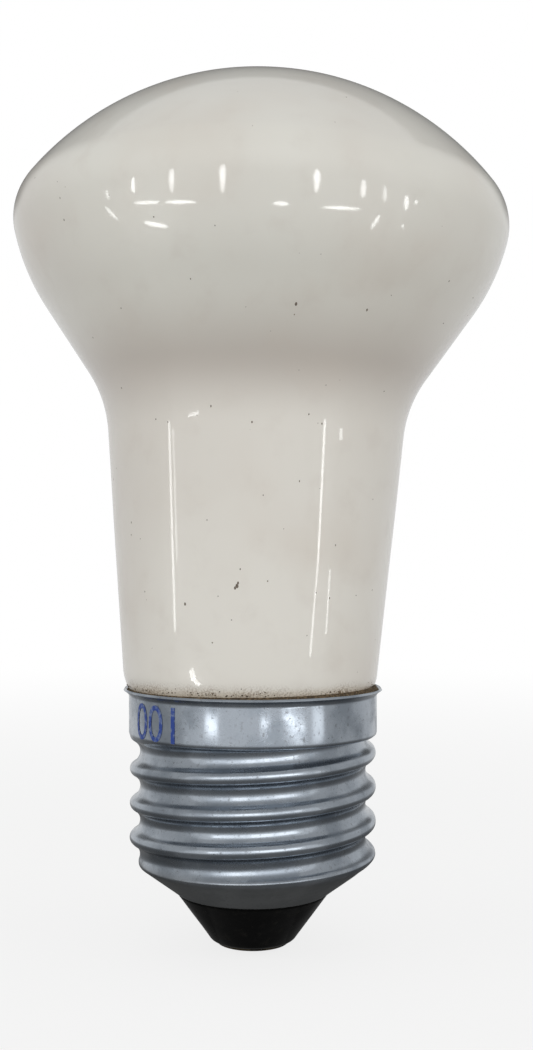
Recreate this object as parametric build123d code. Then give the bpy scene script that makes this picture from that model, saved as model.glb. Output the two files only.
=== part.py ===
from build123d import *
from math import asin, cos, degrees, radians, sin, tan
import os

# Incandescent light bulb: a white mushroom-headed glass bulb cemented into a
# 27 mm screw cap. Millimetres, +Z up, cap down. The origin is the tip of the
# solder bead under the cap, on the cap's axis. The front of the bulb faces -Y.

# Glass bulb, about its own axis
OVERALL_LENGTH = 91.8        # solder tip to the top of the head
DOME_R = 31.5                # radius of the flattened top
HEAD_R = 26.05               # widest half width of the head
SHOULDER_R = 5.5             # tight turn at the widest part
SHOULDER_END = 103.5         # degrees from the top where that turn ends
BELLY_R = 21.5               # longer curve below the shoulder
BELLY_END = 124.5            # degrees from the top where it meets the flank
THROAT_R = 12.85             # hollow curve between flank and neck
NECK_TAPER = 4.95            # degrees: the neck narrows towards the cap
FOOT_Z = 28.4                # where the neck turns in to enter the cap
FOOT_R = 5.0                 # radius of that turn
FOOT_TAPER = 31.0            # degrees: slope of the glass inside the cap
SEAL_Z = 18.5                # flat, fused lower end of the neck
EXHAUST_R = 2.3              # sealed stub of the pumping tube
EXHAUST_LENGTH = 6.0         # below the seal
EXHAUST_TIP = 2.5            # length of its melted point
EXHAUST_TIP_R = 0.8          # half width of the point's end

# How the glass sits in the cap
RIM_Z = 27.6                 # top edge of the cap, where the glass comes out
NECK_OUTSIDE = 0.16          # the neck's line, carried to that edge, is outside the collar
GLASS_LEAN = 1.4             # degrees: the glass stands askew, its head towards +X
GLASS_SHIFT = -0.33          # where the glass axis crosses the rim plane, in X

# Rolled grooves of the cap, spaced as the standard thread, 7 turns to the inch
INCH = 25.4
TURNS_PER_INCH = 7
CREST_INSIDE = 0.1           # the crests stay this far inside the collar
THREAD_DEPTH = 1.1
THREAD_LAND = 0.8            # width of the rounded top and bottom, as flats
TOP_CREST_Z = 20.1           # height of the uppermost crest
CRESTS = 3                   # whole crests above the closed end

# Sheet metal of the cap
SHEET = 0.25
COLLAR_R = 13.2              # plain band above the thread, which sets the cap's width
COLLAR_Z = 23.3              # its lower edge
LIP_OUT = 0.55               # how far the rim flares beyond it
LIP_FLARE = 35.0             # degrees from upright
END_WIDTH = 4.6              # closed end, from the insulator's hole to the side
END_Z = 6.2                  # height of that hole's edge
END_SLOPE = 36.6             # degrees: the closed end rises outwards from level
END_INSIDE = 0.3             # where it meets the side, inside the crests

# Black glass insulator
NOSE_Z = 0.9                 # flat underside round the contact
NOSE_R = 4.2                 # half width of that flat
NOSE_BEVEL = 0.55            # width and height of the blunt edge round it
INSULATOR_DEPTH = 2.2        # above the edge of the hole, against the sheet
DISH_DEPTH = 2.4             # how far the middle of its top lies lower
DISH_R = 5.5
WIRE_HOLE_R = 1.1

# Centre contact
CONTACT_R = 3.8
CONTACT_THICKNESS = 0.6
CONTACT_SUNK = 0.35          # how far it is let into the insulator
BEAD_R = 3.3                 # solder bead on the contact's underside

# Cement between glass and collar
CEMENT_DEPTH = 3.8           # below the rim plane
CEMENT_BELOW_LIP = 0.15      # the cement stops this far under the lip's edge
CEMENT_RISE = 0.6            # and climbs the glass by this much

# Lead wires and the solder at the rim
WIRE_R = 0.15
WIRE_SUNK = 1.0              # length fused into the glass
CENTRE_WIRE_X = -4.6         # from the glass axis, at the seal
CENTRE_WIRE_DROP = 7.0       # length below the seal before it turns inwards
CENTRE_WIRE_TAIL = 2.0       # straight length above the insulator's dish
SIDE_WIRE_Y = 5.0            # from the glass axis, at the seal
SIDE_WIRE_DROP = 2.0         # length below the seal before it turns back up
SIDE_WIRE_REACH = 3.0        # outwards, below the glass
SIDE_WIRE_RISE = 1.0         # upwards over that reach
SIDE_BEAD_R = 1.1
SIDE_BEAD_RISE = 0.4         # its middle above the rim, clear of what slips over the collar

# Worked out from the sizes above
PITCH = INCH / TURNS_PER_INCH
NECK_R = COLLAR_R + NECK_OUTSIDE
LIP_R = COLLAR_R + LIP_OUT
CREST_R = COLLAR_R - CREST_INSIDE
END_R = CREST_R - END_INSIDE
END_HOLE_R = END_R - END_WIDTH
ROOT_R = CREST_R - THREAD_DEPTH
EXHAUST_END_Z = SEAL_Z - EXHAUST_LENGTH
CONTACT_TOP_Z = NOSE_Z + CONTACT_SUNK
CONTACT_FACE_Z = CONTACT_TOP_Z - CONTACT_THICKNESS
INNER_COLLAR_R = COLLAR_R - SHEET
INSULATOR_TOP_Z = END_Z + INSULATOR_DEPTH
DISH_Z = INSULATOR_TOP_Z - DISH_DEPTH
LIP_START_Z = RIM_Z - (LIP_R - COLLAR_R) / tan(radians(LIP_FLARE))
LIP_EDGE_R = LIP_R - SHEET * cos(radians(LIP_FLARE))
LIP_EDGE_Z = RIM_Z + SHEET * sin(radians(LIP_FLARE))
GLASS_PLACE = Location((GLASS_SHIFT, 0, RIM_Z), (0, GLASS_LEAN, 0)) * Location((0, 0, -RIM_Z))


def turned(edges):
    """A solid of revolution about +Z from a closed outline in radius and height."""
    return revolve(Plane.XZ * make_face(edges), axis=Axis.Z)


def foot_radius(height):
    """Half width of the glass on its closing slope inside the cap."""
    corner_r = NECK_R + (FOOT_Z - RIM_Z) * tan(radians(NECK_TAPER))
    return corner_r - (FOOT_Z - height) * tan(radians(FOOT_TAPER))


def glass_form():
    """Head and neck in one blown piece, closed by the seal, about its own axis."""
    # The three outward curves of the head, each tangent inside the one before
    dome_z = OVERALL_LENGTH - DOME_R
    shoulder_r = HEAD_R - SHOULDER_R
    dome_end = degrees(asin(shoulder_r / (DOME_R - SHOULDER_R)))
    shoulder_z = dome_z + (DOME_R - SHOULDER_R) * cos(radians(dome_end))
    belly_r = shoulder_r - (BELLY_R - SHOULDER_R) * sin(radians(SHOULDER_END))
    belly_z = shoulder_z - (BELLY_R - SHOULDER_R) * cos(radians(SHOULDER_END))
    dome = CenterArc((0, dome_z), DOME_R, 90, -dome_end)
    shoulder = CenterArc((shoulder_r, shoulder_z), SHOULDER_R, 90 - dome_end, dome_end - SHOULDER_END)
    belly = CenterArc((belly_r, belly_z), BELLY_R, 90 - SHOULDER_END, SHOULDER_END - BELLY_END)

    # The straight flank runs down to where it would cross the line of the neck
    flank = belly @ 1
    taper = tan(radians(NECK_TAPER))
    flank_slope = tan(radians(BELLY_END - 90))
    neck_at_flank = NECK_R + (flank.Y - RIM_Z) * taper
    throat_z = flank.Y - (flank.X - neck_at_flank) / (flank_slope - taper)
    throat_r = NECK_R + (throat_z - RIM_Z) * taper

    below = FilletPolyline(
        (flank.X, flank.Y),
        (throat_r, throat_z),
        (foot_radius(FOOT_Z), FOOT_Z),
        (foot_radius(SEAL_Z), SEAL_Z),
        radius=[THROAT_R, FOOT_R],
    )
    end = Polyline(
        (foot_radius(SEAL_Z), SEAL_Z),
        (EXHAUST_R, SEAL_Z),
        (EXHAUST_R, EXHAUST_END_Z + EXHAUST_TIP),
        (EXHAUST_TIP_R, EXHAUST_END_Z),
        (0, EXHAUST_END_Z),
        (0, OVERALL_LENGTH),
    )
    return turned([dome, shoulder, belly, *below.edges(), *end.edges()])


def end_height(radius):
    """Height of the closed end's outer face."""
    return END_Z + (radius - END_HOLE_R) * tan(radians(END_SLOPE))


def screw_shell():
    """One sheet, drawn up from the end hole through the grooves to the flared lip."""
    half_land = THREAD_LAND / 2
    outer = [(END_HOLE_R, END_Z), (END_R, end_height(END_R))]
    for step in range(CRESTS - 1, -1, -1):
        crest_z = TOP_CREST_Z - step * PITCH
        root_z = crest_z - PITCH / 2
        outer += [(ROOT_R, root_z - half_land), (ROOT_R, root_z + half_land)]
        outer += [(CREST_R, crest_z - half_land), (CREST_R, crest_z + half_land)]
    last_root_z = TOP_CREST_Z + PITCH / 2
    outer += [(ROOT_R, last_root_z - half_land), (ROOT_R, last_root_z + half_land)]
    outer += [(COLLAR_R, COLLAR_Z), (COLLAR_R, LIP_START_Z), (LIP_R, RIM_Z)]
    sheet = offset(Polyline(*outer), SHEET, side=Side.LEFT, kind=Kind.INTERSECTION, closed=True)
    return turned(sheet.edges())


def end_inner_face(height):
    """Half width of the closed end's inner face."""
    slope = radians(END_SLOPE)
    return END_HOLE_R + (height - END_Z - SHEET / cos(slope)) / tan(slope)


def insulator():
    """Black glass: a cone below the hole, a dished plug above it, a hole for the wire."""
    slope = radians(END_SLOPE)
    hole_edge = (END_HOLE_R - SHEET * sin(slope), END_Z + SHEET * cos(slope))
    return turned(Polyline(
        (WIRE_HOLE_R, CONTACT_TOP_Z),
        (CONTACT_R, CONTACT_TOP_Z),
        (CONTACT_R, NOSE_Z),
        (NOSE_R, NOSE_Z),
        (NOSE_R + NOSE_BEVEL, NOSE_Z + NOSE_BEVEL),
        (END_HOLE_R, END_Z),
        hole_edge,
        (end_inner_face(INSULATOR_TOP_Z), INSULATOR_TOP_Z),
        (DISH_R, DISH_Z),
        (WIRE_HOLE_R, DISH_Z),
        close=True,
    ).edges())


def contact_plate():
    """A disc let into the insulator, with an eyelet for the wire."""
    return turned(Polyline(
        (WIRE_HOLE_R, CONTACT_TOP_Z),
        (CONTACT_R, CONTACT_TOP_Z),
        (CONTACT_R, CONTACT_FACE_Z),
        (WIRE_HOLE_R, CONTACT_FACE_Z),
        close=True,
    ).edges())


def contact_bead():
    """Solder: a low dome under the contact and a plug in its eyelet."""
    dome_r = (BEAD_R**2 + CONTACT_FACE_Z**2) / (2 * CONTACT_FACE_Z)
    dome = CenterArc((0, dome_r), dome_r, -90, degrees(asin(BEAD_R / dome_r)))
    rest = Polyline(
        dome @ 1,
        (WIRE_HOLE_R, CONTACT_FACE_Z),
        (WIRE_HOLE_R, CONTACT_TOP_Z),
        (0, CONTACT_TOP_Z),
        (0, 0),
    )
    return turned([dome, *rest.edges()])


def cement_ring():
    """Fills the collar from wall to axis; the glass is cut out of it later."""
    flare = tan(radians(LIP_FLARE))
    inner_bend_z = LIP_EDGE_Z - (LIP_EDGE_R - INNER_COLLAR_R) / flare
    top_z = LIP_EDGE_Z - CEMENT_BELOW_LIP
    return turned(Polyline(
        (0, RIM_Z - CEMENT_DEPTH),
        (INNER_COLLAR_R, RIM_Z - CEMENT_DEPTH),
        (INNER_COLLAR_R, inner_bend_z),
        (LIP_EDGE_R - CEMENT_BELOW_LIP * flare, top_z),
        (foot_radius(RIM_Z), top_z + CEMENT_RISE),
        (0, top_z + CEMENT_RISE),
        close=True,
    ).edges())


def wire(*points):
    """A round wire, bent sharply at each point."""
    path = Polyline(*points)
    section = Plane(path @ 0, z_dir=path % 0) * Circle(WIRE_R)
    return sweep(section, path=path.wire(), transition=Transition.RIGHT)


def glass_point(x, y, z):
    """A point given about the glass axis, in the cap's frame."""
    return (GLASS_PLACE * Location((x, y, z))).position


def centre_wire():
    """From the seal down through the insulator into the solder of the contact."""
    return wire(
        glass_point(CENTRE_WIRE_X, 0, SEAL_Z + WIRE_SUNK),
        glass_point(CENTRE_WIRE_X, 0, SEAL_Z - CENTRE_WIRE_DROP),
        (0, 0, DISH_Z + CENTRE_WIRE_TAIL),
        (0, 0, CONTACT_FACE_Z),
    )


def side_wire():
    """From the seal back up between glass and collar, and over the lip at the back."""
    bend_z = SEAL_Z - SIDE_WIRE_DROP
    start = glass_point(0, SIDE_WIRE_Y, SEAL_Z + WIRE_SUNK)
    bend = glass_point(0, SIDE_WIRE_Y, bend_z)
    between = (foot_radius(LIP_START_Z) + INNER_COLLAR_R) / 2
    return wire(
        start,
        bend,
        (bend.X, SIDE_WIRE_Y + SIDE_WIRE_REACH, bend_z + SIDE_WIRE_RISE),
        (bend.X, between, LIP_START_Z),
        (bend.X, LIP_EDGE_R - 2 * WIRE_R, LIP_EDGE_Z),
        (bend.X, LIP_EDGE_R + WIRE_R, LIP_EDGE_Z + 3 * WIRE_R),
    )


def save(name, solid):
    """Write one piece as parts/NAME.step."""
    solid.label = name
    export_step(solid, f"parts/{name}.step")


def main():
    os.makedirs("parts", exist_ok=True)
    shell = screw_shell()
    centre_lead = centre_wire()
    side_lead = side_wire()
    glass = GLASS_PLACE * glass_form() - centre_lead - side_lead
    cement = cement_ring() - glass - side_lead
    side_bead = Pos(0, LIP_R, RIM_Z + SIDE_BEAD_RISE) * Sphere(SIDE_BEAD_R)

    save("glass_bulb", glass)
    save("cap_cement", cement)
    save("screw_shell", shell)
    save("cap_insulator", insulator())
    save("contact_plate", contact_plate())
    save("contact_solder", contact_bead() - centre_lead)
    save("side_solder", side_bead - shell - glass - cement - side_lead)
    save("centre_lead", centre_lead)
    save("side_lead", side_lead)


main()
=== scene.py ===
import logging
import math
import random
from dataclasses import dataclass
from enum import Enum

import bmesh
import bpy
from mathutils import Matrix, Vector, noise
from mathutils.bvhtree import BVHTree
from mathutils.interpolate import poly_3d_calc


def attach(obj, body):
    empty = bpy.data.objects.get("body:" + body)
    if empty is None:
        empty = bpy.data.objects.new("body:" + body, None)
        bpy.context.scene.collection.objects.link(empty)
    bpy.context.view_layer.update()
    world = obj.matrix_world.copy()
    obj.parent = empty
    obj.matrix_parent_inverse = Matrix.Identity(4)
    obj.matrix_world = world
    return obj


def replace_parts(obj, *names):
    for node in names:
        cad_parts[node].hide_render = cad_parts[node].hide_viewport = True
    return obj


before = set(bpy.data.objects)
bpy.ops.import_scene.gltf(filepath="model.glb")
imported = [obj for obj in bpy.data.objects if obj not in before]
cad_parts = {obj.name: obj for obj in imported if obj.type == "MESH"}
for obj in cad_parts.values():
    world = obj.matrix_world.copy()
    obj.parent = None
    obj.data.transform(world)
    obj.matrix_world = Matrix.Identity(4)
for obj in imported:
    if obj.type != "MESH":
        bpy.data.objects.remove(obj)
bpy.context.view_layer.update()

# The looks of an incandescent light bulb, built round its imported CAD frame. Metres, +Z up, cap down,
# the front towards -Y. Sizes are written in millimetres and turned to metres by MM.

MM = 0.001
BEYOND_MM = 40.0  # outside the glass at every height, where rays towards its axis start
LOG = logging.getLogger("bulb")
Link = bpy.types.NodeSocket
Colour = tuple[float, float, float, float]


class Axis(Enum):
    """Directions that shapes are turned and spun about."""

    UP = Vector((0, 0, 1))
    BACK = Vector((0, 1, 0))
    RIGHT = Vector((1, 0, 0))


def linear(hex_colour: str) -> Colour:
    """Turns an sRGB hex colour such as "#D8D2C8" into linear RGBA.

    Args:
        hex_colour: the colour.

    Returns:
        Its four channels.
    """
    channels = [int(hex_colour[i:i + 2], 16) / 255 for i in (1, 3, 5)]
    turned = [c / 12.92 if c <= 0.04045 else ((c + 0.055) / 1.055) ** 2.4 for c in channels]
    return (*turned, 1.0)


def add_node(tree: bpy.types.NodeTree, kind: str, inputs: dict | None = None, **settings) -> bpy.types.Node:
    """Adds one node, sets its properties, and fills or links its inputs.

    Args:
        tree: the node tree it goes into.
        kind: the node's type, without the word ShaderNode.
        inputs: socket name or number, to a value or to the output that feeds it.
        settings: properties of the node, set before its inputs.

    Returns:
        The new node.
    """
    node = tree.nodes.new("ShaderNode" + kind)
    for name, value in settings.items():
        setattr(node, name, value)
    for socket, value in (inputs or {}).items():
        if isinstance(value, Link):
            tree.links.new(value, node.inputs[socket])
        else:
            node.inputs[socket].default_value = value
    return node


def bare_tree(owner: bpy.types.Material | bpy.types.World) -> bpy.types.NodeTree:
    """Turns on a material's or a world's nodes, and empties them.

    Args:
        owner: the material or world.

    Returns:
        Its empty node tree.
    """
    owner.use_nodes = True
    owner.node_tree.nodes.clear()
    return owner.node_tree


def placed(name: str, data: bpy.types.ID) -> bpy.types.Object:
    """Puts an object of this data into the scene, at the origin.

    Args:
        name: of the object.
        data: its mesh, lamp, camera or text.

    Returns:
        The new object.
    """
    made = bpy.data.objects.new(name, data)
    bpy.context.scene.collection.objects.link(made)
    return made


def together(tree: bpy.types.NodeTree, *strengths: Link | float) -> Link | float:
    """What several strengths leave when each weakens the others: their product.

    Args:
        tree: the node tree.
        strengths: from 0 to 1 each, as numbers or outputs.

    Returns:
        The product.
    """
    whole = strengths[0]
    for strength in strengths[1:]:
        whole = add_node(tree, "Math", {0: whole, 1: strength}, operation="MULTIPLY").outputs[0]
    return whole


def within(tree: bpy.types.NodeTree, *edges: tuple[Link, float, float]) -> Link:
    """A soft-edged region: 1 where every value is past its inner limit, 0 where one is past its outer.

    Args:
        tree: the node tree.
        edges: values, each with its outer and its inner limit.

    Returns:
        The region's strength.
    """
    return together(tree, *(
        add_node(
            tree, "MapRange", {"Value": value, "From Min": outer, "From Max": inner},
            interpolation_type="SMOOTHSTEP",
        ).outputs[0]
        for value, outer, inner in edges
    ))


def per_metre(size_mm: float) -> float:
    """The scale at which a texture's features are about this many millimetres wide."""
    return 1 / (size_mm * MM)


def smooth_least(a: float, b: float, blend: float) -> float:
    """The smaller of two lengths, rounded over where they are within a blend of each other."""
    h = max(blend - abs(a - b), 0.0) / blend
    return min(a, b) - h * h * blend / 4


def smooth_most(a: float, b: float, blend: float) -> float:
    """The larger of two lengths, rounded over where they are within a blend of each other."""
    return -smooth_least(-a, -b, blend)


# Finishes


@dataclass(frozen=True)
class Canvas:
    """What a finish is painted on: the material's node tree, and the piece's own coordinates."""

    tree: bpy.types.NodeTree
    place: Link

    def blotches(self, size_mm: float, low: float, high: float, detail: float = 3.0) -> Link:
        """Soft patches: 0 where a noise lies under low, 1 where it lies over high.

        Args:
            size_mm: about how wide the patches are.
            low: the noise value at which they start.
            high: the noise value at which they are full.
            detail: how many finer layers the noise has.

        Returns:
            The patches' strength.
        """
        look = {"Vector": self.place, "Scale": per_metre(size_mm), "Detail": detail}
        return within(self.tree, (add_node(self.tree, "TexNoise", look).outputs[0], low, high))

    def specks(self, cell_mm: float, speck_mm: float, share: float) -> Link:
        """Scattered dots with edges as soft as 0.4 of their size.

        Args:
            cell_mm: how far apart the places are where a dot can be.
            speck_mm: half width of the largest dots.
            share: how many of those places have a dot, from 0 to 1.

        Returns:
            1 inside a dot and 0 outside.
        """
        tree = self.tree
        cells = add_node(tree, "TexVoronoi", {"Vector": self.place, "Scale": per_metre(cell_mm)})
        chance = add_node(tree, "SeparateColor", {0: cells.outputs["Color"]})
        reach = add_node(tree, "MapRange", {
            "Value": chance.outputs[0], "From Min": 1 - share, "From Max": 1,
            "To Min": 0.0, "To Max": speck_mm / cell_mm,
        }).outputs[0]
        return add_node(tree, "MapRange", {
            "Value": cells.outputs["Distance"], "From Min": reach, "From Max": together(tree, reach, 0.6),
        }).outputs[0]

    def band(self, empty_mm: float, full_mm: float) -> Link:
        """A strength that goes from 0 at one height to 1 at another."""
        height = add_node(self.tree, "SeparateXYZ", {0: self.place}).outputs["Z"]
        return within(self.tree, (height, empty_mm * MM, full_mm * MM))

    def coated(self, base: str, *coats: tuple) -> Link:
        """A colour under coats of others, each as thick as its strengths together.

        Args:
            base: the colour below, as sRGB hex.
            coats: from the lowest up, each its colour as sRGB hex, and its strengths from 0 to 1.

        Returns:
            The colour that shows.
        """
        colour = linear(base)
        for coat, *strengths in coats:
            layers = {0: together(self.tree, *strengths), 6: colour, 7: linear(coat)}
            colour = add_node(self.tree, "Mix", layers, data_type="RGBA").outputs[2]
        return colour


@dataclass(frozen=True)
class Finish:
    """A finish: a material of one shader, whose look the subclasses paint."""

    name: str

    def material(self) -> bpy.types.Material:
        """Makes the material, with its nodes linked.

        Returns:
            The new material.
        """
        made = bpy.data.materials.new(self.name)
        tree = bare_tree(made)
        canvas = Canvas(tree, add_node(tree, "TexCoord").outputs["Object"])
        shader = add_node(tree, "BsdfPrincipled", self.paint(canvas))
        add_node(tree, "OutputMaterial", {"Surface": shader.outputs[0]})
        return made

    def paint(self, canvas: Canvas) -> dict[str, Link | float]:
        """Paints the look, each finish in its own way, and returns the shader's inputs."""
        raise NotImplementedError


@dataclass(frozen=True)
class OpalGlass(Finish):
    """Soda-lime glass, blown, with white silica powder inside: a clear gloss over a warm, soft white."""

    head_white: str = "#F2F1E9"
    neck_white: str = "#F2EFE7"
    # The flank's colour is painted shade, darker where the glass faces down
    flank_painted_shade: str = "#D6CFC7"
    tint: str = "#DAD2C9"
    aged: str = "#DACDBE"
    grime: str = "#7E6140"
    stain: str = "#C4AE8A"
    speck: str = "#5B5147"
    flank_shade_mm: tuple[float, float] = (67.0, 59.0)
    neck_mm: tuple[float, float] = (61.0, 54.0)
    stain_mm: tuple[float, float] = (29.0, 27.9)
    grime_mm: tuple[float, float] = (29.5, 28.0)
    dots: tuple[tuple[float, float, float, float], ...] = ((5.5, 0.16, 0.35, 0.75), (2.2, 0.07, 0.3, 0.5))

    def paint(self, canvas: Canvas) -> dict[str, Link | float]:
        """Uneven powder, painted shade on the downward-facing flank, brown grime that thins out above the
        rim, and specks.

        Args:
            canvas: what it is painted on.

        Returns:
            The shader's inputs.
        """
        grains = canvas.blotches(0.16, 0.4, 0.65)
        patches = canvas.blotches(3.6, 0.34, 0.7)
        colour = canvas.coated(
            self.head_white,
            # Painted shade: the flank, which faces down, is painted pinker and greyer than the head, and the
            # neck white again below it
            (self.flank_painted_shade, canvas.band(*self.flank_shade_mm)),
            (self.neck_white, canvas.band(*self.neck_mm)),
            (self.tint, canvas.blotches(26, 0.3, 0.7, 2), 0.4),
            (self.aged, canvas.blotches(13, 0.5, 0.72), 0.2),
            (self.tint, canvas.blotches(3.2, 0.5, 0.8, 4), 0.25),
            # Grime: a film that fades upwards, in patches, broken into grains of 0.16 mm
            (self.stain, canvas.band(*self.stain_mm), 0.45),
            (self.grime, canvas.band(*self.grime_mm), grains, patches, 0.8),
            *((self.speck, canvas.specks(*dots), strength) for *dots, strength in self.dots),
        )
        haze = canvas.blotches(9, 0.35, 0.75, 4)
        rough = add_node(canvas.tree, "MapRange", {"Value": haze, "To Min": 0.42, "To Max": 0.6})
        return {
            "Base Color": colour, "Roughness": rough.outputs[0], "Specular IOR Level": 0.3,
            "Coat Weight": 1.0, "Coat Roughness": 0.07, "Coat IOR": 1.52,
        }


@dataclass(frozen=True)
class RolledSheet(Finish):
    """Thin aluminium sheet, drawn and rolled: bluish grey, satin, with pits, scuffs and dull patches."""

    bright: str = "#ABB3BC"
    dull: str = "#7F8892"
    stain: str = "#57524C"
    # The pits' colour, also used for the painted shade under the thread
    pit_and_shade: str = "#232120"
    worn: str = "#72716D"
    worn_mm: tuple[float, float] = (10.4, 8.8)
    thread_low_mm: tuple[float, float] = (8.6, 10.0)
    thread_high_mm: tuple[float, float] = (22.4, 21.6)

    def paint(self, canvas: Canvas) -> dict[str, Link | float]:
        """Dull patches and fine marks in colour, roughness and bump, and painted shade under the thread.

        Args:
            canvas: what it is painted on.

        Returns:
            The shader's inputs.
        """
        tree = canvas.tree
        patches = canvas.blotches(3.4, 0.4, 0.66, 5)
        marks = canvas.blotches(0.3, 0.55, 0.75, 5)
        pits = canvas.specks(0.75, 0.07, 0.35)
        # The closed end lost its shine in the lamp holder
        worn = canvas.band(*self.worn_mm)
        # Painted shade: the undersides of the thread, which face down, are darkened with the pits' colour
        normal = add_node(tree, "SeparateXYZ", {0: add_node(tree, "NewGeometry").outputs["Normal"]})
        underside_shade = within(tree, (normal.outputs["Z"], -0.68, -0.88))
        threaded = together(tree, canvas.band(*self.thread_low_mm), canvas.band(*self.thread_high_mm))
        colour = canvas.coated(
            self.bright, (self.dull, patches, 0.6), (self.stain, marks, 0.35), (self.pit_and_shade, pits, 0.9),
            (self.worn, worn, 0.7), (self.pit_and_shade, underside_shade, threaded, 0.6),
        )

        # Every mark is more matt than the sheet
        rough = add_node(tree, "MapRange", {"Value": patches, "To Min": 0.16, "To Max": 0.32}).outputs[0]
        for mark, matter in ((marks, 0.15), (worn, 0.25)):
            terms = {0: mark, 1: matter, 2: rough}
            rough = add_node(tree, "Math", terms, operation="MULTIPLY_ADD").outputs[0]

        # Orange-peel of 0.6 mm from drawing, and the pits
        skin = add_node(tree, "TexNoise", {"Vector": canvas.place, "Scale": per_metre(0.6), "Detail": 4.0})
        height = add_node(tree, "Math", {0: skin.outputs[0], 1: pits}, operation="SUBTRACT")
        bump = add_node(tree, "Bump", {"Height": height.outputs[0], "Strength": 0.16, "Distance": 0.02 * MM})
        return {"Base Color": colour, "Metallic": 1.0, "Roughness": rough, "Normal": bump.outputs[0]}


@dataclass(frozen=True)
class BlackGlass(Finish):
    """Black lead glass, pressed: deep and glossy, with scuffs and dust."""

    glass: str = "#060606"
    dust: str = "#37332F"

    def paint(self, canvas: Canvas) -> dict[str, Link | float]:
        """Dust in patches, and a gloss that scuffs have dulled.

        Args:
            canvas: what it is painted on.

        Returns:
            The shader's inputs.
        """
        tree = canvas.tree
        dust = canvas.blotches(0.9, 0.5, 0.8, 6)
        specks = canvas.specks(0.8, 0.08, 0.35)
        colour = canvas.coated(self.glass, (self.dust, dust, 0.2), (self.dust, specks, 0.5))
        rough = add_node(tree, "MapRange", {"Value": dust, "To Min": 0.14, "To Max": 0.5})
        ripple = add_node(tree, "TexNoise", {"Vector": canvas.place, "Scale": per_metre(2.4), "Detail": 2.0})
        bump = add_node(tree, "Bump", {"Height": ripple.outputs[0], "Strength": 0.3, "Distance": 0.1 * MM})
        return {
            "Base Color": colour, "Roughness": rough.outputs[0], "Specular IOR Level": 0.1,
            "Normal": bump.outputs[0],
        }


@dataclass(frozen=True)
class Patchy(Finish):
    """A plain matter with a second tone in patches or grains, which change its gloss and stand proud."""

    base: str
    tone: str
    patch_mm: float
    limits: tuple[float, float]
    detail: float
    roughness: tuple[float, float]
    relief: float = 0.0
    relief_mm: float = 0.03
    metallic: float = 0.0

    def paint(self, canvas: Canvas) -> dict[str, Link | float]:
        """Patches in colour, roughness and bump.

        Args:
            canvas: what it is painted on.

        Returns:
            The shader's inputs.
        """
        patches = canvas.blotches(self.patch_mm, *self.limits, self.detail)
        smooth, matt = self.roughness
        rough = add_node(canvas.tree, "MapRange", {"Value": patches, "To Min": smooth, "To Max": matt})
        bump = {"Height": patches, "Strength": self.relief, "Distance": self.relief_mm * MM}
        return {
            "Base Color": canvas.coated(self.base, (self.tone, patches)), "Metallic": self.metallic,
            "Roughness": rough.outputs[0], "Normal": add_node(canvas.tree, "Bump", bump).outputs[0],
        }


class Finishes:
    """Every finish of the bulb, made once."""

    def __init__(self) -> None:
        """Makes the materials."""
        self.opal_glass = OpalGlass("soda_lime_glass_blown_white_inside").material()
        self.sheet = RolledSheet("aluminium_sheet_rolled").material()
        # Marble-flour cement, baked: a matt, crumbly greyish brown
        self.cement = Patchy(
            "basing_cement_baked", "#75644C", "#463A2B", patch_mm=0.22, limits=(0.35, 0.65), detail=5,
            roughness=(0.92, 0.92), relief=0.8, relief_mm=0.12,
        ).material()
        self.black_glass = BlackGlass("black_lead_glass_pressed").material()
        # Yellow metal gone brown, as it is where a holder's spring has rubbed it
        self.brass = self.dull_metal("brass_stamped_tarnished", "#5A5140", "#2B2722", (0.3, 0.5), 1.2)
        # Lead-tin solder: grey, with a darker skin of oxide
        self.solder = self.dull_metal("lead_tin_solder_oxidised", "#8B8A88", "#45423F", (0.3, 0.55), 0.8)
        # Copper-clad wire, browned by the sealing flame
        self.lead_wire = self.dull_metal("copper_clad_wire_drawn", "#A8694A", "#6E4632", (0.35, 0.5), 0.5)
        # Rubber-stamped and rubbed: thin, with the sheet showing through where it wore
        self.ink = Patchy(
            "marking_ink_stamped_blue", "#2C4794", "#7484A8", patch_mm=0.45, limits=(0.45, 0.68), detail=4,
            roughness=(0.55, 0.55),
        ).material()
        # Dust and spots that have dried on: matt and brownish black, in two tones
        self.dirt = Patchy(
            "dirt_dried_on", "#675E54", "#968C80", patch_mm=0.12, limits=(0.4, 0.65), detail=3,
            roughness=(0.9, 0.9),
        ).material()

    def dull_metal(self, name: str, base: str, tone: str, roughness: tuple[float, float],
                   patch_mm: float) -> bpy.types.Material:
        """A small metal part with a tarnish in patches.

        Args:
            name: of the material.
            base: the metal's colour.
            tone: the tarnish's.
            roughness: the metal's and the tarnish's.
            patch_mm: about how wide the patches are.

        Returns:
            The new material.
        """
        return Patchy(
            name, base, tone, patch_mm, limits=(0.42, 0.62), detail=4, roughness=roughness,
            relief=0.4, metallic=1.0,
        ).material()


# Shapes


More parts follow.
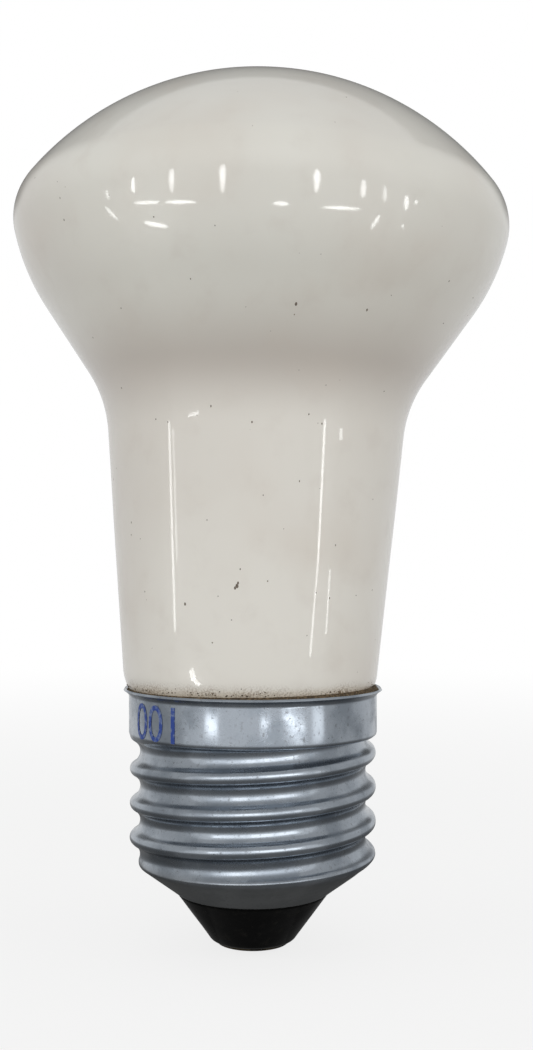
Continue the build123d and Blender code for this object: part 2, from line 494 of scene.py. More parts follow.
class Outline:
    """A line of vertices in radius and height, drawn with operators and then spun into a solid."""

    def __init__(self, radius: float, height: float) -> None:
        """Starts at a point in millimetres."""
        self.mesh = bmesh.new()
        self.last = bmesh.ops.create_vert(self.mesh, co=Vector((radius, 0, height)) * MM)["vert"][0]

    def line(self, radius: float, height: float, pieces: int = 1) -> "Outline":
        """Goes straight to a point.

        Args:
            radius: of that point, in millimetres.
            height: of that point, in millimetres.
            pieces: into how many edges the line is divided.

        Returns:
            The outline itself.
        """
        step = (Vector((radius, 0, height)) * MM - self.last.co) / pieces
        for _ in range(pieces):
            grown = bmesh.ops.extrude_vert_indiv(self.mesh, verts=[self.last])["verts"]
            bmesh.ops.translate(self.mesh, verts=grown, vec=step)
            self.last = grown[0]
        return self

    def arc(self, centre: tuple[float, float], degrees: float, pieces: int) -> "Outline":
        """Goes round a centre.

        Args:
            centre: radius and height in millimetres.
            degrees: the turn, clockwise as the outline is drawn with its axis on the left.
            pieces: into how many edges the arc is divided.

        Returns:
            The outline itself.
        """
        pivot = Vector((centre[0], 0, centre[1])) * MM
        spun = bmesh.ops.spin(
            self.mesh, geom=[self.last], cent=pivot, axis=Axis.BACK.value,
            angle=math.radians(degrees), steps=pieces,
        )
        self.last = next(part for part in spun["geom_last"] if isinstance(part, bmesh.types.BMVert))
        return self

    def turned(self, steps: int) -> bmesh.types.BMesh:
        """Spins the whole line about the upright axis.

        Args:
            steps: how many faces go round.

        Returns:
            The closed mesh, with its faces pointing outwards.
        """
        mesh = self.mesh
        bmesh.ops.spin(
            mesh, geom=list(mesh.verts) + list(mesh.edges), cent=Vector(), axis=Axis.UP.value,
            angle=math.tau, steps=steps, use_merge=True,
        )
        bmesh.ops.remove_doubles(mesh, verts=mesh.verts, dist=0.002 * MM)
        bmesh.ops.recalc_face_normals(mesh, faces=mesh.faces)
        return mesh


def piece_of(mesh: bmesh.types.BMesh, name: str, finish: bpy.types.Material) -> bpy.types.Object:
    """Makes an object of a mesh, at the origin, smooth, finished, and riding on the bulb.

    Args:
        mesh: the mesh, which is used up.
        name: of the new object.
        finish: its material.

    Returns:
        The new object.
    """
    data = bpy.data.meshes.new(name)
    mesh.to_mesh(data)
    mesh.free()
    data.shade_smooth()
    data.materials.append(finish)
    made = placed(name, data)
    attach(made, "root")
    LOG.info("%s: %d faces", name, len(data.polygons))
    return made


def lying_at(place: Vector, normal: Vector, halves: tuple[float, float, float],
             angle: float = 0.0) -> Matrix:
    """Where a ball of radius 1 goes to lie squashed on a surface.

    Args:
        place: on the surface.
        normal: of the surface there.
        halves: the three half widths, the last across the surface.
        angle: the turn about the normal, in radians.

    Returns:
        The ball's matrix.
    """
    flat = normal.to_track_quat("Z", "Y").to_matrix().to_4x4()
    turn = Matrix.Rotation(angle, 4, normal)
    return Matrix.Translation(place) @ turn @ flat @ Matrix.Diagonal((*halves, 1))


@dataclass(frozen=True)
class Mirror:
    """A shiny piece and a tree of its outer surface, for aiming what gleams in it."""

    piece: bpy.types.Object
    surface: BVHTree

    def struck(self, start: Vector, ray: Vector) -> tuple[Vector, Vector, float]:
        """Finds where a ray meets the surface.

        Args:
            start: of the ray.
            ray: its direction.

        Returns:
            The place, the smooth normal there, and how far the ray went.
        """
        place, _, index, gone = self.surface.ray_cast(start, ray)
        if place is None:
            raise ValueError(f"a ray misses {self.piece.name}")
        data = self.piece.data
        corners = [data.vertices[number] for number in data.polygons[index].vertices]
        shares = poly_3d_calc([corner.co for corner in corners], place)
        normal = sum((corner.normal * share for corner, share in zip(corners, shares)), Vector())
        return place, normal.normalized(), gone

    def facing(self, out: Vector, height: float) -> tuple[Vector, Vector]:
        """The place, and its face's normal, that lies in a level direction at a height in millimetres."""
        start = (out * BEYOND_MM + Axis.UP.value * height) * MM
        return self.surface.ray_cast(start, -out)[:2]


@dataclass
class GlassBulb:
    """The blown glass: head, neck and pinched foot in one, leaning in the cap. Millimetres and degrees."""

    top: float = 91.8
    dome_r: float = 31.5
    head_r: float = 26.05
    shoulder_r: float = 5.5
    shoulder_end: float = 103.5
    belly_r: float = 21.5
    belly_end: float = 124.5
    throat_r: float = 12.85
    neck_r: float = 13.36
    neck_taper: float = 4.95
    foot_z: float = 28.4
    foot_taper: float = 31.0
    foot_bend_r: float = 5.0
    seal_z: float = 18.5
    exhaust_r: float = 2.3
    exhaust_end_z: float = 12.5
    exhaust_tip: float = 2.5
    exhaust_tip_r: float = 0.8
    rim_z: float = 27.6
    lean: float = 1.4
    shift: float = -0.33
    steps: int = 200
    wave: float = 0.04
    wave_width: float = 17.0
    small_wave_width: float = 7.0
    small_wave_share: float = 0.4
    wave_fade: float = 10.0

    def neck_at(self, height: float) -> float:
        """Half width of the neck's straight line at a height."""
        return self.neck_r + (height - self.rim_z) * math.tan(math.radians(self.neck_taper))

    def outline(self) -> Outline:
        """Draws the glass from the top of the head to the tip of the pumping tube.

        Returns:
            The whole line.
        """
        dome_z = self.top - self.dome_r
        shoulder_x = self.head_r - self.shoulder_r
        dome_end = math.degrees(math.asin(shoulder_x / (self.dome_r - self.shoulder_r)))
        shoulder_z = dome_z + (self.dome_r - self.shoulder_r) * math.cos(math.radians(dome_end))
        turn = math.radians(self.shoulder_end)
        belly_x = shoulder_x - (self.belly_r - self.shoulder_r) * math.sin(turn)
        belly_z = shoulder_z - (self.belly_r - self.shoulder_r) * math.cos(turn)
        line = Outline(0, self.top)
        line.arc((0, dome_z), dome_end, 44)
        line.arc((shoulder_x, shoulder_z), self.shoulder_end - dome_end, 22)
        line.arc((belly_x, belly_z), self.belly_end - self.shoulder_end, 12)

        # The flank runs straight to the hollow of the throat, which runs straight into the neck
        flank_x, flank_z = line.last.co.x / MM, line.last.co.z / MM
        flank_turn, neck_turn = math.radians(self.belly_end - 90), math.radians(self.neck_taper)
        corner_z = flank_z - (flank_x - self.neck_at(flank_z)) / (math.tan(flank_turn) - math.tan(neck_turn))
        turn = self.belly_end - 90 - self.neck_taper
        reach = self.throat_r * math.tan(math.radians(turn / 2))
        down, out = math.cos(flank_turn), math.sin(flank_turn)
        start_x, start_z = self.neck_at(corner_z) + reach * out, corner_z + reach * down
        line.line(start_x, start_z, 18)
        line.arc((start_x + self.throat_r * down, start_z - self.throat_r * out), -turn, 14)

        # Neck, its turn into the cap, the slope inside, and the fused end with the pumping tube
        inner_turn = self.foot_taper - self.neck_taper
        inner_reach = self.foot_bend_r * math.tan(math.radians(inner_turn / 2))
        bend_z = self.foot_z + inner_reach * math.cos(neck_turn)
        line.line(self.neck_at(bend_z), bend_z, 40)
        across, up = self.foot_bend_r * math.cos(neck_turn), self.foot_bend_r * math.sin(neck_turn)
        line.arc((self.neck_at(bend_z) - across, bend_z + up), inner_turn, 6)
        foot_x, foot_z = line.last.co.x / MM, line.last.co.z / MM
        line.line(foot_x - (foot_z - self.seal_z) * math.tan(math.radians(self.foot_taper)), self.seal_z, 8)
        line.line(self.exhaust_r, self.seal_z, 4)
        line.line(self.exhaust_r, self.exhaust_end_z + self.exhaust_tip, 3)
        line.line(self.exhaust_tip_r, self.exhaust_end_z, 3)
        return line.line(0, self.exhaust_end_z)

    def place(self) -> Matrix:
        """How the glass sits in the cap: turned about the rim's centre and moved along it.

        Returns:
            The matrix that seats it.
        """
        at_rim = Matrix.Translation(Vector((self.shift, 0, self.rim_z)) * MM)
        turn = Matrix.Rotation(math.radians(self.lean), 4, Axis.BACK.value)
        return at_rim @ turn @ Matrix.Translation(Vector((0, 0, -self.rim_z)) * MM)

    def build(self, finishes: Finishes) -> Mirror:
        """Builds and dresses the glass, and returns it with its surface.

        Args:
            finishes: the materials.

        Returns:
            The glass, for aiming what gleams in it.
        """
        mesh = self.outline().turned(self.steps)
        for vert in mesh.verts:
            if vert.co.z > self.foot_z * MM:
                small = noise.noise(vert.co / (self.small_wave_width * MM))
                swell = noise.noise(vert.co / (self.wave_width * MM)) + self.small_wave_share * small
                fade = min(1.0, (vert.co.z / MM - self.foot_z) / self.wave_fade)
                vert.co += vert.normal * swell * self.wave * fade * MM
        bmesh.ops.transform(mesh, matrix=self.place(), verts=mesh.verts)
        mesh.normal_update()
        surface = BVHTree.FromBMesh(mesh)
        glass = piece_of(mesh, "glass_blown", finishes.opal_glass)
        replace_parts(glass, "glass_bulb")
        return Mirror(glass, surface)


@dataclass
class ScrewShell:
    """The cap's sheet: closed end, rolled thread, plain collar and flared lip. Millimetres and degrees."""

    pitch: float = 25.4 / 7
    crest_r: float = 13.1
    crest_arc: float = 0.75
    thread_turn: float = 62.2
    front_crest_z: float = 16.5
    collar_r: float = 13.2
    collar_z: float = 22.8
    collar_edge: float = 0.4
    lip_start_z: float = 27.0
    lip_r: float = 13.75
    rim_z: float = 27.6
    hole_r: float = 8.2
    hole_z: float = 6.2
    end_slope: float = 36.6
    edge_blend: float = 0.08
    end_blend: float = 0.9
    wide_dent: float = 0.03
    narrow_dent: float = 0.02
    dent_fade: float = 3.0
    sheet: float = 0.25
    bevel: float = 0.08
    steps: int = 208
    row_mm: float = 0.145

    def thread_at(self, angle: float, height: float) -> float:
        """Radius of the screw thread: round crests and wider round roots, tangent to each other.

        Args:
            angle: in turns from the front, counterclockwise from above.
            height: in millimetres.

        Returns:
            The radius in millimetres.
        """
        turn = math.radians(self.thread_turn)
        crest_half = self.crest_arc * math.sin(turn)
        root_half = self.pitch / 2 - crest_half
        root_arc = root_half / math.sin(turn)
        crest_z = self.front_crest_z + self.pitch * angle
        off = abs((height - crest_z + self.pitch / 2) % self.pitch - self.pitch / 2)
        if off <= crest_half:
            return self.crest_r - self.crest_arc + math.sqrt(self.crest_arc ** 2 - off * off)
        in_root = self.pitch / 2 - off
        depth = (self.crest_arc + root_arc) * (1 - math.cos(turn))
        return self.crest_r - depth + root_arc - math.sqrt(root_arc ** 2 - in_root ** 2)

    def dents_at(self, angle: float, height: float) -> float:
        """How far handling has pushed the sheet in or out: in wide flats, and narrow ones between.

        Args:
            angle: in turns from the front.
            height: in millimetres.

        Returns:
            The push outwards in millimetres.
        """
        across, along = math.cos(math.tau * angle), math.sin(math.tau * angle)
        wide = noise.noise(Vector((across, along, height / 22)) * 3.1)
        narrow = noise.noise(Vector((across * 9, along * 9, height / 9)))
        return wide * self.wide_dent + narrow * self.narrow_dent

    def radius_at(self, angle: float, height: float) -> float:
        """Radius of the outer face anywhere on the cap.

        Args:
            angle: in turns from the front, counterclockwise from above.
            height: in millimetres.

        Returns:
            The radius in millimetres.
        """
        slope = math.tan(math.radians(self.end_slope))
        cone = self.hole_r + (height - self.hole_z) / slope
        thread = self.thread_at(angle, height)
        below_edge = max(self.collar_z + self.collar_edge - height, 0.0)
        drop = self.collar_edge - math.sqrt(max(self.collar_edge ** 2 - below_edge ** 2, 0.0))
        collar = self.collar_r - drop if below_edge < self.collar_edge else 0.0
        if below_edge == 0.0:
            thread = 0.0
        side = smooth_most(thread, collar, self.edge_blend)
        if height > self.lip_start_z:
            rise = (height - self.lip_start_z) / (self.rim_z - self.lip_start_z)
            side += (self.lip_r - self.collar_r) * rise ** 2
        fade = min(1.0, max(0.0, (height - self.hole_z) / self.dent_fade))
        side += self.dents_at(angle, height) * fade
        return smooth_least(side, cone, self.end_blend)

    def build(self, finishes: Finishes) -> Mirror:
        """Builds and dresses the sheet, and returns it with its outer surface.

        Args:
            finishes: the materials.

        Returns:
            The sheet, for aiming what gleams in it.
        """
        rows = round((self.rim_z - self.hole_z) / self.row_mm)
        mesh = Outline(self.hole_r, self.hole_z).line(self.hole_r, self.rim_z, rows).turned(self.steps)
        for vert in mesh.verts:
            turns = math.atan2(vert.co.x, -vert.co.y) / math.tau
            vert.co.xy = vert.co.xy.normalized() * self.radius_at(turns, vert.co.z / MM) * MM
        mesh.normal_update()
        surface = BVHTree.FromBMesh(mesh)
        shell = piece_of(mesh, "cap_screw_shell", finishes.sheet)
        wall = shell.modifiers.new("wall", "SOLIDIFY")
        wall.thickness = self.sheet * MM
        wall.offset = -1
        wall.use_even_offset = True
        edges = shell.modifiers.new("rounded_edges", "BEVEL")
        edges.width = self.bevel * MM
        edges.segments = 2
        edges.limit_method = "ANGLE"
        edges.angle_limit = math.radians(60)
        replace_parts(shell, "screw_shell")
        return Mirror(shell, surface)


@dataclass
class CapEnd:
    """Below the sheet: the black glass insulator, the contact and its solder. Millimetres."""

    nose_z: float = 0.9
    nose_flat_r: float = 3.84
    nose_round: float = 1.0
    cone_angle: float = 54.0
    hole_r: float = 8.2
    hole_z: float = 6.2
    contact_r: float = 3.8
    contact_top_z: float = 1.25
    wire_hole_r: float = 1.1
    seat_step: tuple[float, float] = (0.15, 0.2)
    plug_top: tuple[float, float] = (10.75, 8.4)
    dish: tuple[float, float] = (5.5, 6.0)
    wavy_z: tuple[float, float] = (1.5, 5.8)
    wave: float = 0.035
    wave_width: float = 2.6
    steps: int = 128

    def build_insulator(self, finishes: Finishes) -> None:
        """The insulator, with the soft edges and slight waves of pressed glass.

        Args:
            finishes: the materials.
        """
        line = Outline(self.wire_hole_r, self.contact_top_z)
        line.line(self.contact_r, self.contact_top_z).line(self.contact_r, self.nose_z)
        line.line(self.nose_flat_r, self.nose_z)
        line.arc((self.nose_flat_r, self.nose_z + self.nose_round), -self.cone_angle, 8)
        line.line(self.hole_r, self.hole_z, 14)
        line.line(self.hole_r - self.seat_step[0], self.hole_z + self.seat_step[1])
        line.line(*self.plug_top, 6).line(*self.dish, 4).line(self.wire_hole_r, self.dish[1], 2)
        mesh = line.line(self.wire_hole_r, self.contact_top_z, 3).turned(self.steps)
        low, high = (height * MM for height in self.wavy_z)
        for vert in mesh.verts:
            if low < vert.co.z < high:
                vert.co += vert.normal * noise.noise(vert.co / (self.wave_width * MM)) * self.wave * MM
        insulator = piece_of(mesh, "insulator_black_glass", finishes.black_glass)
        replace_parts(insulator, "cap_insulator")

    def build(self, finishes: Finishes) -> None:
        """Builds the insulator, and dresses the pieces whose solids are right as they are.

        Args:
            finishes: the materials.
        """
        self.build_insulator(finishes)
        for name, finish in (
            ("contact_plate", finishes.brass),
            ("contact_solder", finishes.solder),
            ("centre_lead", finishes.lead_wire),
            ("side_lead", finishes.lead_wire),
            ("cap_cement", finishes.cement),
        ):
            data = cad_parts[name].data
            data.materials.clear()
            data.materials.append(finish)


@dataclass
class RimJoint:
    """What joining glass, cap and wire left at the rim: cement crumbs and a solder bead. Millimetres."""

    rim_z: float = 27.6
    crumbs: int = 260
    smallest: float = 0.03
    largest: float = 0.095
    first_rise: float = 0.5
    last_rise: float = 1.6
    thinning: float = 4.5
    bead: tuple[float, float, float] = (0.0, 13.75, 28.0)
    bead_r: float = 1.08
    bead_shape: tuple[float, float, float] = (1.0, 0.85, 0.95)
    lump: float = 0.09
    lump_width: float = 0.9
    seed: int = 27

    def build_crumbs(self, finishes: Finishes, glass: Mirror) -> None:
        """Crumbs that stick to the glass just above the cement, thicker in some places than in others.

        Args:
            finishes: the materials.
            glass: what they stick to.
        """
        draw = random.Random(self.seed)
        mesh = bmesh.new()
        stuck = 0
        while stuck < self.crumbs:
            angle = draw.uniform(0, math.tau)
            rise = draw.expovariate(self.thinning)
            out = Vector((math.cos(angle), math.sin(angle), 0))
            dense = 0.5 + 0.9 * noise.noise(out * 2.7 + Vector((0, 0, 3.1)))
            if rise > self.last_rise or draw.random() > dense:
                continue
            stuck += 1
            hit, normal = glass.facing(out, self.rim_z + self.first_rise + rise)
            size = draw.uniform(self.smallest, self.largest) * (1 - 0.4 * rise) * MM
            angle = draw.uniform(0, math.tau)
            matrix = lying_at(hit, normal, (size, size * draw.uniform(0.6, 1.5), size * 0.7), angle)
            bmesh.ops.create_icosphere(mesh, subdivisions=1, radius=1, matrix=matrix)
        piece_of(mesh, "cement_crumbs", finishes.cement)

    def build_bead(self, finishes: Finishes) -> None:
        """The solder that joins the side wire to the lip, slumped and a little lumpy.

        Args:
            finishes: the materials.
        """
        mesh = bmesh.new()
        bmesh.ops.create_icosphere(mesh, subdivisions=4, radius=self.bead_r * MM)
        for vert in mesh.verts:
            lump = self.lump * noise.noise(vert.co / (self.lump_width * MM) + Vector((4, 1, 7)))
            vert.co *= 1 + lump - self.lump * 2 / 3
        bmesh.ops.scale(mesh, verts=mesh.verts, vec=self.bead_shape)
        bmesh.ops.translate(mesh, verts=mesh.verts, vec=Vector(self.bead) * MM)
        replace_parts(piece_of(mesh, "rim_solder_bead", finishes.solder), "side_solder")

    def build(self, finishes: Finishes, glass: Mirror) -> None:
        """Builds crumbs and bead."""
        self.build_crumbs(finishes, glass)
        self.build_bead(finishes)


@dataclass
class StampedNumerals:
    """Plain numerals stamped upside down on the collar, as a stand-in for a rating. Millimetres."""

    text: str = "100"
    height: float = 3.7
    width_share: float = 0.95
    turns: float = -0.132
    middle_z: float = 25.15
    lift: float = 0.03
    cut_mm: float = 0.25
    size_for_height: float = 1.42

    def build(self, finishes: Finishes, shell: "ScrewShell") -> None:
        """Lays the numerals round the collar, cut finely enough to follow its dents.

        Args:
            finishes: the materials.
            shell: the cap's sheet, whose face they lie on.
        """
        curve = bpy.data.curves.new("numerals", "FONT")
        curve.body = self.text
        curve.align_x = "CENTER"
        curve.align_y = "CENTER"
        curve.size = self.height * self.size_for_height
        curve.resolution_u = 6
        typed = placed("numerals", curve)
        flat = typed.to_mesh()
        mesh = bmesh.new()
        mesh.from_mesh(flat)
        typed.to_mesh_clear()
        bpy.data.objects.remove(typed)
        bpy.data.curves.remove(curve)
        bmesh.ops.triangulate(mesh, faces=mesh.faces)
        for side in (Axis.RIGHT.value, Axis.BACK.value):
            half = max(abs(vert.co.dot(side)) for vert in mesh.verts)
            cuts = math.ceil(2 * half / self.cut_mm)
            for cut in range(1, cuts):
                parts = list(mesh.verts) + list(mesh.edges) + list(mesh.faces)
                across = side * (-half + cut * 2 * half / cuts)
                bmesh.ops.bisect_plane(mesh, geom=parts, plane_co=across, plane_no=side, dist=1e-6)
        for vert in mesh.verts:
            height = self.middle_z - vert.co.y
            turns = self.turns - vert.co.x * self.width_share / (math.tau * shell.collar_r)
            radius = (shell.radius_at(turns, height) + self.lift) * MM
            angle = math.tau * turns
            vert.co = Vector((math.sin(angle) * radius, -math.cos(angle) * radius, height * MM))
        mesh.normal_update()
        piece_of(mesh, "collar_numerals", finishes.ink)


@dataclass
class Specks:
    """Spots of dirt on the glass: a few at places in the picture, and a dusting. Millimetres."""

    spots: tuple[tuple[float, float, float], ...] = (
        (238, 583, 0.1), (237, 586, 0.15), (235, 588, 0.11), (185, 604, 0.11), (296, 304, 0.12),
        (367, 310, 0.1), (252, 422, 0.08), (168, 422, 0.07), (207, 520, 0.05),
    )
    dusting: int = 170
    dusty_z: tuple[float, float] = (30.0, 88.0)
    dust_size: tuple[float, float] = (0.03, 0.075)
    dust_length: tuple[float, float] = (1.0, 1.8)
    spot_length: float = 1.5
    flatness: float = 0.25
    seed: int = 5

    def build(self, finishes: Finishes, glass: Mirror, view: "Viewpoint") -> None:
        """Builds the spots as one piece.

        Args:
            finishes: the materials.
            glass: what they lie on.
            view: the camera that places the larger ones.
        """
        found = []
        for column, row, half_mm in self.spots:
            hit, normal = glass.surface.ray_cast(Vector(view.place), view.ray(column, row))[:2]
            found.append((hit, normal, half_mm, self.spot_length))
        draw = random.Random(self.seed)
        for _ in range(self.dusting):
            angle = draw.uniform(0, math.tau)
            out = Vector((math.cos(angle), math.sin(angle), 0))
            hit, normal = glass.facing(out, draw.uniform(*self.dusty_z))
            found.append((hit, normal, draw.uniform(*self.dust_size), draw.uniform(*self.dust_length)))
        mesh = bmesh.new()
        for hit, normal, half_mm, longer in found:
            size = half_mm * MM
            matrix = lying_at(hit, normal, (size, size * longer, size * self.flatness))
            bmesh.ops.create_icosphere(mesh, subdivisions=2, radius=1, matrix=matrix)
        piece_of(mesh, "glass_specks", finishes.dirt)


# Studio


@dataclass(frozen=True)
class Viewpoint:
    """The photograph's camera: close to the bulb, level, its frame moved up and aside."""

    place: tuple[float, float, float] = (0.0, -0.135, 0.0408)
    picture: tuple[int, int] = (533, 1050)
    focal_px: float = 1262.0
    axis_column: float = 252.8
    horizon_row: float = 565.0
    sensor_mm: float = 36.0

    def build(self) -> None:
        """Adds the camera and makes it the scene's."""
        wide, high = self.picture
        data = bpy.data.cameras.new("close_camera")
        data.sensor_width = self.sensor_mm
        data.lens = self.focal_px / high * self.sensor_mm
        data.shift_x = (wide / 2 - self.axis_column) / high
        data.shift_y = (self.horizon_row - high / 2) / high
        data.clip_start = 0.01
        camera = placed("close_camera", data)
        camera.location = self.place
        camera.rotation_euler = (math.radians(90), 0, 0)
        bpy.context.scene.camera = camera

    def ray(self, column: float, row: float) -> Vector:
        """The direction of a place in the picture, from the camera."""
        return Vector((column - self.axis_column, self.focal_px, self.horizon_row - row)).normalized()


@dataclass(frozen=True)
class Glint:
    """A window's or lamp's image in a shiny piece: a bar between two places in the picture, in pixels."""

    start: tuple[float, float]
    end: tuple[float, float]
    width: float
    glow: float
    tapered: bool = True
    distance_mm: float = 18.0


@dataclass
class Studio:
    """A pale floor, a soft sky, soft lamps, and the small bright ones that glass and collar mirror.

    The pairs from side_starts to wall_top are soft limits in the parts of a direction's unit vector, and
    those of the floor are metres from the bulb.
    """

    view: Viewpoint
    floor_half: float = 6.0
    sky: float = 0.42
    room_front: float = 0.88
    room_side: float = 0.56
    room_back: float = 0.75
    room_ceiling: float = 0.54
    room_wall: float = 0.14
    side_starts: tuple[float, float] = (-0.46, -0.4)
    back_starts: tuple[float, float] = (0.1, 0.8)
    ceiling_starts: tuple[float, float] = (0.5, 0.75)
    wall_starts: tuple[float, float] = (0.1, 0.3)
    wall_side: tuple[float, float] = (0.7, 0.45)
    wall_foot: tuple[float, float] = (0.2, 0.32)
    wall_top: tuple[float, float] = (0.79, 0.75)
    # A painted shadow of the bulb on the near paper, which only glossy faces show
    painted_shadow_level: float = 0.2
    painted_shadow_reach: tuple[float, float] = (0.02, 0.17)
    paper_reach: tuple[float, float] = (0.05, 0.4)
    paper_white: float = 0.8
    paper_colour: str = "#CAC8C4"
    paper_to_eye: str = "#F7F7F6"
    gleam_beam: float = 44.0
    gleam_part_px: float = 36.0
    glass_glints: tuple[Glint, ...] = (
        # Windows across the head
        *(Glint(*bar) for bar in (
            ((133, 177), (133, 193), 3.8, 9), ((172, 167), (171, 188), 4.8, 8),
            ((223, 161), (222, 186), 6.0, 9), ((317, 167), (317, 188), 6.0, 9),
            ((364, 179), (363, 198), 5.2, 7), ((385, 186), (385, 202), 3.8, 5),
            ((407, 195), (406, 210), 4.6, 8), ((134, 203), (160, 202), 3.2, 9),
            ((165, 202), (196, 202), 3.2, 11), ((273, 203), (289, 204), 4.0, 9),
            ((321, 207), (361, 209), 3.4, 10), ((106, 190), (109, 200), 3.0, 5),
            ((105, 207), (118, 220), 3.0, 6), ((144, 222), (168, 227), 4.0, 10),
            ((380, 215), (371, 229), 3.2, 8), ((402, 225), (404, 228), 3.4, 6),
            ((415, 200), (417, 204), 3.4, 6),
        )),
        # Long edges down the neck, near enough for the hollow throat to show them whole
        *(Glint(*bar, False, 5.0) for bar in (
            ((169, 421), (175, 631), 2.0, 7), ((173, 428), (177, 560), 1.6, 4),
            ((188, 416), (199, 413), 2.4, 9), ((325, 421), (318, 562), 2.0, 9),
            ((318, 562), (310, 657), 1.8, 7), ((341, 428), (341, 440), 3.0, 6),
            ((330, 569), (326, 634), 1.6, 6), ((191, 670), (194, 680), 5.0, 8),
            ((193, 679), (200, 686), 3.6, 10),
        )),
    )
    collar_glints: tuple[Glint, ...] = tuple(
        Glint((column, 708), (column, 743), width, glow, False)
        for column, width, glow in ((211, 12, 2.5), (265, 9, 4.8), (293, 22, 3.5), (319, 11, 0.9))
    )

    def lamp(self, name: str, centre: Vector, towards: Vector, along: Vector, size: tuple[float, float],
             radiance: float, shown_by: bpy.types.Object | None = None, shape: str = "RECTANGLE",
             beam: float = 180.0) -> None:
        """Adds a flat lamp.

        Args:
            name: of the lamp.
            centre: its middle.
            towards: the point it faces.
            along: roughly the direction of its first side.
            size: its two sides in metres.
            radiance: how bright its face is; 1 is white.
            shown_by: the one piece whose gloss shows it. Otherwise it lights all, and no gloss shows it.
            shape: RECTANGLE or ELLIPSE.
            beam: how wide, in degrees, a lamp with a piece of its own shines.
        """
        data = bpy.data.lights.new(name, "AREA")
        data.shape = shape
        data.size, data.size_y = size
        data.energy = radiance * math.pi * size[0] * size[1]
        away = (centre - towards).normalized()
        side = (along - along.dot(away) * away).normalized()
        up = away.cross(side)
        made = placed(name, data)
        made.matrix_world = Matrix.Translation(centre) @ Matrix((side, up, away)).transposed().to_4x4()
        made.visible_camera = False
        made.visible_glossy = shown_by is not None
        if shown_by is not None:
            # A grid on the lamp keeps its image from showing anywhere but where it is aimed
            half = math.radians(beam / 2)
            data.spread = 2 * half
            data.energy *= 1 - half / math.tan(half)
            made.visible_diffuse = False
            receiver = bpy.data.collections.new(f"shows_{name}")
            receiver.objects.link(shown_by)
            made.light_linking.receiver_collection = receiver

    def mirrored(self, mirror: Mirror, column: float, row: float, path: float) -> Vector:
        """Follows a ray from the camera to a shiny face and on, until it has gone a given way.

        Args:
            mirror: the shiny piece.
            column: where the ray starts, in the picture.
            row: where the ray starts, in the picture.
            path: how far it goes in all, in metres.

        Returns:
            Where the ray ends.
        """
        ray = self.view.ray(column, row)
        place, normal, gone = mirror.struck(Vector(self.view.place), ray)
        return place + ray.reflect(normal) * (path - gone)

    def add_gleams(self, mirror: Mirror, glints: tuple[Glint, ...]) -> None:
        """Adds small lamps whose images in a shiny piece are bars of the sizes and places wanted.

        Each lamp lies square to the rays that the piece mirrors, so long bars are divided. The lamps are
        seen in that piece only, and light nothing else.

        Args:
            mirror: the piece, with its surface.
            glints: the bars.
        """
        eye = Vector(self.view.place)
        for number, glint in enumerate(glints):
            run = Vector(glint.end) - Vector(glint.start)
            beside = Vector((-run.y, run.x)).normalized() * glint.width / 2
            parts = max(1, round(run.length / self.gleam_part_px))
            for part in range(parts):
                start = Vector(glint.start) + run * part / parts
                end = Vector(glint.start) + run * (part + 1) / parts
                middle = (start + end) / 2
                place, normal, gone = mirror.struck(eye, self.view.ray(*middle))
                path = gone + glint.distance_mm * MM
                low, high, left, right, centre = (
                    self.mirrored(mirror, *spot, path)
                    for spot in (start, end, middle - beside, middle + beside, middle)
                )
                name = f"gleam_in_{mirror.piece.name}_{number}_{part}"
                shape = "ELLIPSE" if glint.tapered else "RECTANGLE"
                size = ((high - low).length, (right - left).length)
                self.lamp(
                    name, centre, place, high - low, size, glint.glow, mirror.piece, shape, self.gleam_beam
                )

    def room_level(self, tree: bpy.types.NodeTree, behind: Link) -> Link:
        """How bright the room looks at the horizon, from the front past the sides to the back.

        Args:
            tree: the node tree.
            behind: how far a direction points backwards, from -1 to 1.

        Returns:
            The level.
        """
        front = add_node(tree, "MapRange", {
            "Value": behind, "From Min": self.side_starts[0], "From Max": self.side_starts[1],
            "To Min": self.room_front, "To Max": self.room_side,
        }, interpolation_type="SMOOTHSTEP").outputs[0]
        layers = {0: within(tree, (behind, *self.back_starts)), 2: front, 3: self.room_back}
        return add_node(tree, "Mix", layers, data_type="FLOAT").outputs[0]

    def add_world(self) -> None:
        """A soft sky: a room where glossy faces mirror it, and white behind the bulb to the eye."""
        world = bpy.data.worlds.new("soft_sky")
        tree = bare_tree(world)
        path = add_node(tree, "LightPath")
        towards = add_node(tree, "SeparateXYZ", {0: add_node(tree, "TexCoord").outputs["Generated"]})
        right, behind, up = (towards.outputs[axis] for axis in "XYZ")
        aside = add_node(tree, "Math", {0: right}, operation="ABSOLUTE").outputs[0]
        # What only glossy faces show: a dim ceiling, and a dark shape behind
        level = self.room_level(tree, behind)
        ceiling = within(tree, (up, *self.ceiling_starts))
        wall = within(
            tree, (behind, *self.wall_starts), (aside, *self.wall_side), (up, *self.wall_foot),
            (up, *self.wall_top),
        )
        for region, inner in ((ceiling, self.room_ceiling), (wall, self.room_wall)):
            level = add_node(tree, "Mix", {0: region, 2: level, 3: inner}, data_type="FLOAT").outputs[0]
        strength = self.sky
        for ray, shown in (("Is Glossy Ray", level), ("Is Camera Ray", 1.0)):
            layers = {0: path.outputs[ray], 2: strength, 3: shown}
            strength = add_node(tree, "Mix", layers, data_type="FLOAT").outputs[0]
        glow = add_node(tree, "Background", {"Color": (1, 1, 1, 1), "Strength": strength})
        add_node(tree, "OutputWorld", {"Surface": glow.outputs[0]})
        bpy.context.scene.world = world

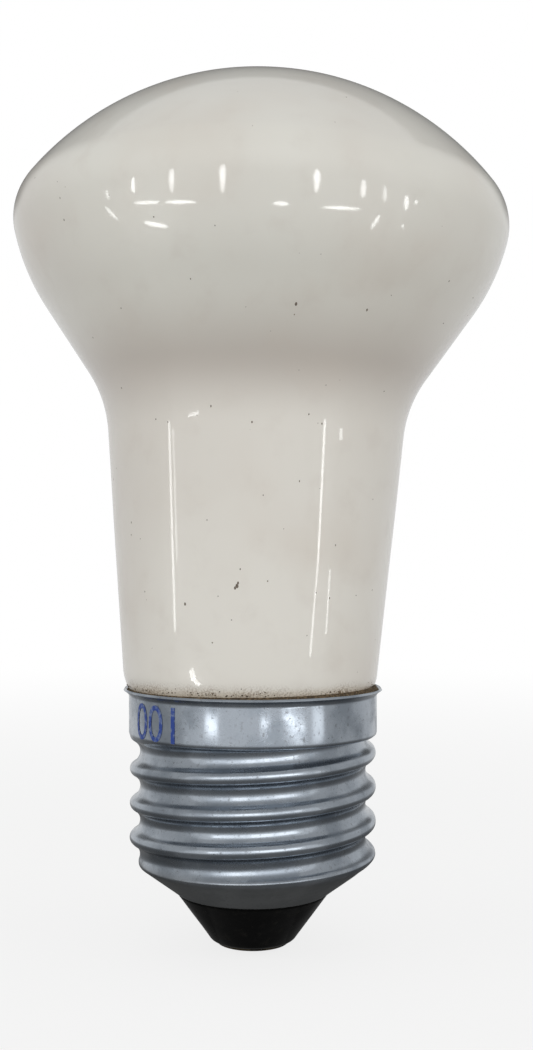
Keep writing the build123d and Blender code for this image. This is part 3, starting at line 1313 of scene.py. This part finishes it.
    def add_floor(self) -> None:
        """A wide pale floor under the solder tip: white to the eye, with the bulb's shadow."""
        mesh = bmesh.new()
        bmesh.ops.create_grid(mesh, x_segments=8, y_segments=8, size=self.floor_half)
        data = bpy.data.meshes.new("floor")
        mesh.to_mesh(data)
        mesh.free()
        floor = placed("floor", data)
        material = bpy.data.materials.new("matt_white_paper")
        tree = bare_tree(material)
        path = add_node(tree, "LightPath")
        colour = add_node(tree, "Mix", {
            0: path.outputs["Is Camera Ray"], 6: linear(self.paper_colour), 7: linear(self.paper_to_eye),
        }, data_type="RGBA")
        paper = add_node(tree, "BsdfDiffuse", {"Color": colour.outputs[2]})
        # Away from the bulb the paper runs into the white behind it, with no line between
        place = add_node(tree, "TexCoord").outputs["Object"]
        reach = add_node(tree, "VectorMath", {0: place}, operation="LENGTH").outputs["Value"]
        to_eye, painted_shadow = (
            add_node(tree, "MapRange", {
                "Value": reach, "From Min": near, "From Max": far, "To Min": level,
            }, interpolation_type="SMOOTHSTEP").outputs[0]
            for (near, far), level in (
                (self.paper_reach, self.paper_white), (self.painted_shadow_reach, self.painted_shadow_level),
            )
        )
        by_eye = together(tree, to_eye, path.outputs["Is Camera Ray"])
        share = add_node(tree, "Math", {0: by_eye, 1: path.outputs["Is Glossy Ray"]}, operation="MAXIMUM")
        # Glossy faces show the far paper as bright as the room in that direction, and the near paper dim, as
        # a painted shadow of the bulb
        outwards = add_node(tree, "VectorMath", {0: place}, operation="NORMALIZE").outputs[0]
        room = self.room_level(tree, add_node(tree, "SeparateXYZ", {0: outwards}).outputs["Y"])
        dimmed = together(tree, room, painted_shadow)
        layers = {0: path.outputs["Is Glossy Ray"], 2: 1.0, 3: dimmed}
        glow = add_node(tree, "Mix", layers, data_type="FLOAT")
        white = add_node(tree, "Emission", {"Color": (1, 1, 1, 1), "Strength": glow.outputs[0]})
        mix = add_node(tree, "MixShader", {0: share.outputs[0], 1: paper.outputs[0], 2: white.outputs[0]})
        add_node(tree, "OutputMaterial", {"Surface": mix.outputs[0]})
        data.materials.append(material)

    def add_lamps(self, cap: bpy.types.Object) -> None:
        """Soft light from above and the front, and a window that runs round the cap's thread as lines.

        Args:
            cap: the sheet, the only piece to mirror the window.
        """
        bulb = Vector((0, 0, 0.055))
        for name, centre, along, size, radiance, shown_by in (
            ("front", (0, -1.4, 0.32), Axis.RIGHT, (1.5, 0.8), 1.95, None),
            ("left", (-1.3, -0.45, 0.5), Axis.BACK, (0.9, 0.9), 1.3, None),
            ("right", (1.3, -0.45, 0.5), Axis.BACK, (0.9, 0.9), 1.3, None),
            ("window", (0, -1.2, 0.36), Axis.RIGHT, (2.2, 0.6), 1.3, cap),
        ):
            self.lamp(name, Vector(centre), bulb, along.value, size, radiance, shown_by)

    def build(self, glass: Mirror, collar: Mirror) -> None:
        """Builds the whole studio round the two faces that mirror it.

        Args:
            glass: the bulb's face.
            collar: the cap's face.
        """
        self.view.build()
        self.add_world()
        self.add_floor()
        self.add_lamps(collar.piece)
        self.add_gleams(glass, self.glass_glints)
        self.add_gleams(collar, self.collar_glints)
        bpy.context.scene.view_settings.view_transform = "Standard"


def main() -> None:
    """Builds the bulb and its studio."""
    logging.basicConfig(level=logging.INFO, format="%(message)s")
    finishes = Finishes()
    view = Viewpoint()
    glass = GlassBulb().build(finishes)
    cap = ScrewShell()
    shell = cap.build(finishes)
    CapEnd().build(finishes)
    RimJoint().build(finishes, glass)
    StampedNumerals().build(finishes, cap)
    Specks().build(finishes, glass, view)
    Studio(view).build(glass, shell)


if __name__ == "__main__":
    main()
